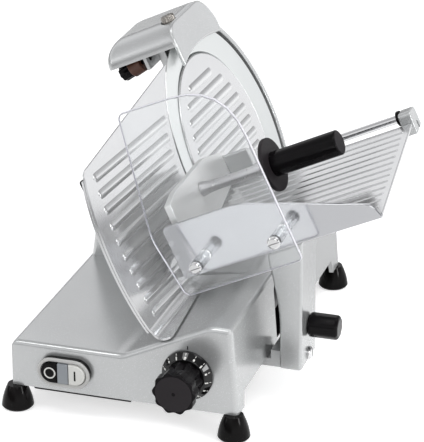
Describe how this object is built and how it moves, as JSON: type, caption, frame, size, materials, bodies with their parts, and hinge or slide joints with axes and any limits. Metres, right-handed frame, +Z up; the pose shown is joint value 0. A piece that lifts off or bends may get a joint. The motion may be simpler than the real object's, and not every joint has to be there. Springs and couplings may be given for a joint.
{
  "type": "food slicer",
  "caption": "Gravity food slicer: leaning blade with ring guard and ribbed gauge plate, sliding tray with clear hand guard and swinging food pusher, thickness dial and lift-off sharpener.",
  "frame": {"origin": "centre of the bounding box at the underside of the feet, at the rest pose shown in the picture", "axes": "+X to the operator's right, towards the carriage arm; +Y to the back, along the carriage's travel; +Z up from the feet"},
  "size_m": [0.3568, 0.5174, 0.3176],
  "materials": {
    "cast_alloy": "satin anodised casting",
    "brushed_alloy": "bright anodised plate",
    "polished_steel": "polished bar",
    "blade_steel": "ground steel",
    "machined_steel": "machined",
    "sheet_steel": "plain sheet",
    "black_plastic": "moulded, half gloss",
    "black_rubber": "moulded rubber",
    "white_plastic": "moulded",
    "grey_plastic": "translucent lens",
    "bezel_plastic": "moulded",
    "clear_plastic": "clear acrylic sheet",
    "abrasive_stone": "bonded abrasive",
    "nylon": "natural"
  },
  "bodies": {
    "base": {"base_housing": "cast_alloy", "ring_guard": "cast_alloy", "sharpener_post": "cast_alloy", "blade_cover": "brushed_alloy", "gauge_rod": "polished_steel", "slide_bar": "polished_steel", "bearing_left": "machined_steel", "bearing_right": "machined_steel", "rear_cover": "sheet_steel", "motor_body": "sheet_steel", "bottom_cover": "black_plastic", "switch_block": "black_plastic", "cover_tie_rod": "black_plastic", "cable_gland": "black_plastic", "foot_front_left": "black_rubber", "foot_front_right": "black_rubber", "foot_rear_left": "black_rubber", "foot_rear_right": "black_rubber", "drive_belt": "black_rubber", "pilot_lens": "grey_plastic", "switch_bezel": "bezel_plastic"},
    "stop": {"stop_button": "black_plastic"},
    "start": {"start_button": "white_plastic"},
    "dial": {"thickness_dial": "black_plastic", "thickness_knob": "black_plastic", "cam_shaft": "machined_steel"},
    "gauge": {"gauge_plate": "brushed_alloy", "gauge_bracket": "machined_steel", "gauge_bumper": "black_rubber"},
    "blade": {"blade": "blade_steel", "blade_shaft": "machined_steel", "blade_pulley": "machined_steel"},
    "motor": {"motor_pulley": "machined_steel"},
    "sharpener": {"sharpener_hood": "cast_alloy"},
    "grinding": {"grinding_stone": "abrasive_stone", "grinding_knob": "black_plastic"},
    "honing": {"honing_stone": "abrasive_stone", "honing_knob": "black_plastic"},
    "clamp": {"clamp_screw": "polished_steel"},
    "carriage": {"slide_block": "cast_alloy", "carriage_arm": "cast_alloy", "arm_screw": "polished_steel", "tray_plate": "brushed_alloy", "tray_fence": "brushed_alloy", "hand_guard": "clear_plastic", "guard_spacer_left": "clear_plastic", "guard_spacer_right": "clear_plastic", "guard_screw_left": "polished_steel", "guard_screw_right": "polished_steel", "rod_bracket_left": "cast_alloy", "rod_bracket_right": "cast_alloy", "guide_rod": "polished_steel", "rod_stop": "black_rubber"},
    "carriage_grip": {"carriage_knob": "black_plastic"},
    "pusher_runner": {"pusher_bush": "nylon"},
    "pusher": {"pusher_block": "cast_alloy", "pusher_plate": "brushed_alloy", "pusher_shaft": "brushed_alloy", "pusher_handle": "black_plastic"}
  },
  "joints": [
    {"name": "stop_press", "type": "slide", "parent": "base", "child": "stop", "axis": [0, 1, 0], "range_m": [0, 0.003], "stiffness_N_per_m": 600},
    {"name": "start_press", "type": "slide", "parent": "base", "child": "start", "axis": [0, 1, 0], "range_m": [0, 0.003], "stiffness_N_per_m": 600},
    {"name": "thickness_turn", "type": "hinge", "parent": "base", "child": "dial", "pos_m": [0.01623, -0.21674, 0.06], "axis": [0, 1, 0], "range_deg": [0, 280]},
    {"name": "gauge_slide", "type": "slide", "parent": "base", "child": "gauge", "axis": [-0.9063, 0, -0.4226], "range_m": [0, 0.015]},
    {"name": "blade_spin", "type": "hinge", "parent": "base", "child": "blade", "pos_m": [-0.05022, 0.12326, 0.15639], "axis": [0.9063, 0, 0.4226], "continuous": true},
    {"name": "motor_spin", "type": "hinge", "parent": "base", "child": "motor", "pos_m": [-0.08159, 0.06626, 0.10535], "axis": [0.9063, 0, 0.4226], "continuous": true},
    {"name": "sharpener_lift", "type": "slide", "parent": "base", "child": "sharpener", "axis": [-0.4226, 0, 0.9063], "range_m": [0, 0.03]},
    {"name": "grinding_press", "type": "slide", "parent": "sharpener", "child": "grinding", "axis": [0.7986, 0, 0.6018], "range_m": [0, 0.004], "stiffness_N_per_m": 400},
    {"name": "honing_press", "type": "slide", "parent": "sharpener", "child": "honing", "axis": [0.7986, 0, 0.6018], "range_m": [0, 0.004], "stiffness_N_per_m": 400},
    {"name": "clamp_turn", "type": "hinge", "parent": "sharpener", "child": "clamp", "pos_m": [-0.10933, 0.11326, 0.27889], "axis": [-0.4226, 0, 0.9063], "range_deg": [0, 180]},
    {"name": "carriage_slide", "type": "slide", "parent": "base", "child": "carriage", "axis": [0, 1, 0], "range_m": [-0.055, 0.195]},
    {"name": "carriage_grip_turn", "type": "hinge", "parent": "carriage", "child": "carriage_grip", "pos_m": [0.11123, -0.10574, 0.072], "axis": [1, 0, 0], "range_deg": [0, 360]},
    {"name": "pusher_slide", "type": "slide", "parent": "carriage", "child": "pusher_runner", "axis": [0.9063, 0, 0.4226], "range_m": [0, 0.145]},
    {"name": "pusher_swing", "type": "hinge", "parent": "pusher_runner", "child": "pusher", "pos_m": [-0.00533, 0.03426, 0.16187], "axis": [-0.9063, 0, -0.4226], "range_deg": [0, 80]}
  ],
  "couplings": [
    {"joint": "thickness_turn", "follows": "gauge_slide", "rad_per_m": 325.79},
    {"joint": "motor_spin", "follows": "blade_spin", "ratio": 3.5}
  ]
}
